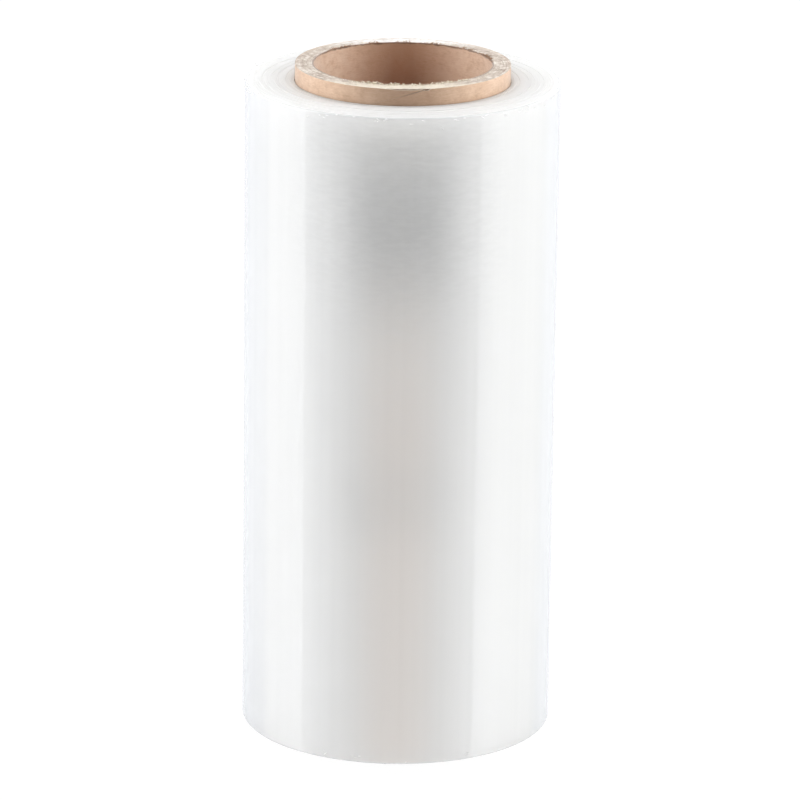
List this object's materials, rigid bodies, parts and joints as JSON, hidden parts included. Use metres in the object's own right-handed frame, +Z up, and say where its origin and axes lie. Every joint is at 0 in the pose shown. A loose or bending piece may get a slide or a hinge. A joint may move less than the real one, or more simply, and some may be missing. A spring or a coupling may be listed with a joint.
{
  "type": "protective film roll",
  "caption": "Roll of clear protective film wound on a cardboard core that stands out at both ends; the core's bore slides onto a dispenser spindle.",
  "frame": {"origin": "centre of the core's lower end, on the surface that the roll stands on", "axes": "+Z up the roll's axis, which is the core's bore; the roll is round, so +X and +Y may point any way across it"},
  "size_m": [0.1342, 0.1342, 0.2994],
  "materials": {
    "cardboard": "matte",
    "film": "satin"
  },
  "bodies": {
    "root": {"cardboard_core": "cardboard", "film_winding": "film"}
  },
  "joints": []
}
